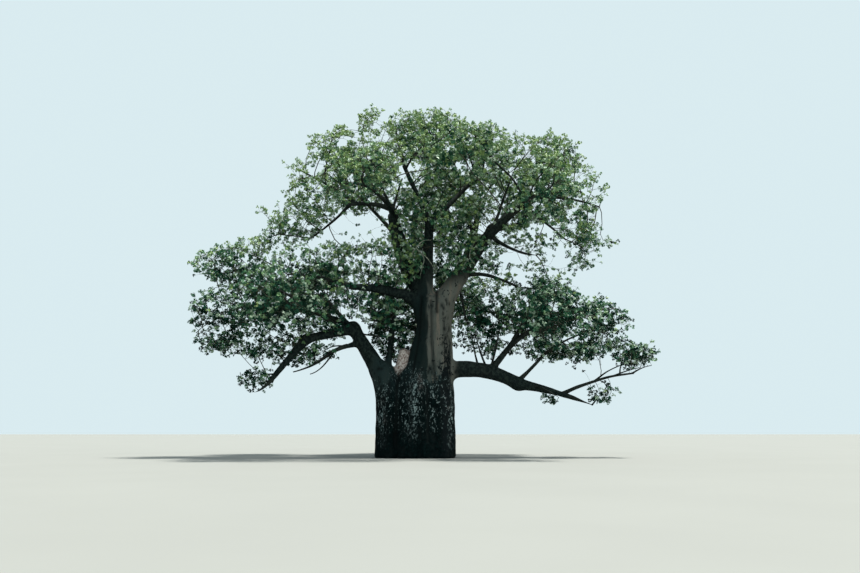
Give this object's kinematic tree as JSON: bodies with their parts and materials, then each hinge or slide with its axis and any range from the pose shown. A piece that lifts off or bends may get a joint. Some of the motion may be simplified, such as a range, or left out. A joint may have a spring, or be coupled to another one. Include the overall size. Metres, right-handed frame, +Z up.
{
  "type": "baobab tree",
  "caption": "Rooted baobab with a short, massive fluted trunk, a leaning side stem, heavy tapering boughs and a wide, uneven crown of separate leaf masses.",
  "frame": {"origin": "on the flat cut under the trunk, at ground level", "axes": "+X along the crown's widest spread, +Z up the trunk, -Y towards the front view"},
  "size_m": [29.5, 19.5, 22.95],
  "materials": {
    "bark_trunk": "smooth grey-brown bark, fluted and mottled, matte",
    "bark_bough": "dark grey-brown bark, finely ridged, matte",
    "foliage_light": "yellow-green leaves, satin",
    "foliage_mid": "mid-green leaves, satin",
    "foliage_dark": "deep green leaves in shade, satin"
  },
  "bodies": {
    "root": {"trunk": "bark_trunk", "left_stem": "bark_bough", "second_stem": "bark_bough", "left_bough_inner": "bark_bough", "left_bough_outer": "bark_bough", "left_high_branch": "bark_bough", "right_bough_lower": "bark_bough", "fork_left": "bark_bough", "fork_back_left": "bark_bough", "trunk_left_bough": "bark_bough", "upper_left_bough": "bark_bough", "upper_left_tip": "bark_bough", "crown_bough_left": "bark_bough", "crown_bough_right": "bark_bough", "right_bough_upper": "bark_bough", "right_mid_branch": "bark_bough", "right_fork_branch": "bark_bough", "lower_right_bough": "bark_bough", "lower_right_end": "bark_bough", "lower_right_reach": "bark_bough", "lower_right_rise": "bark_bough", "lower_right_riser": "bark_bough", "back_left_bough": "bark_bough", "back_right_bough": "bark_bough", "back_low_bough": "bark_bough", "front_left_bough": "bark_bough", "front_right_bough": "bark_bough", "crown_top": "foliage_light", "crown_top_right": "foliage_light", "crown_top_left": "foliage_light", "crown_right": "foliage_light", "crown_far_right": "foliage_light", "crown_left": "foliage_light", "crown_left_shelf": "foliage_light", "crown_front": "foliage_mid", "crown_front_left": "foliage_mid", "crown_front_right": "foliage_mid", "crown_back": "foliage_light", "crown_back_left": "foliage_light", "crown_back_right": "foliage_light", "crown_inner_right": "foliage_dark", "crown_inner": "foliage_dark", "crown_inner_left": "foliage_dark", "left_high": "foliage_mid", "left_outer_high": "foliage_light", "left_outer_low": "foliage_dark", "left_mid": "foliage_dark", "left_near": "foliage_dark", "left_front": "foliage_mid", "left_back": "foliage_mid", "left_back_inner": "foliage_dark", "left_hanging": "foliage_dark", "right_near": "foliage_dark", "right_mid": "foliage_mid", "right_outer": "foliage_light", "right_tip": "foliage_light", "right_under": "foliage_dark", "right_front": "foliage_mid", "right_back": "foliage_mid", "back_low": "foliage_dark"}
  },
  "joints": []
}
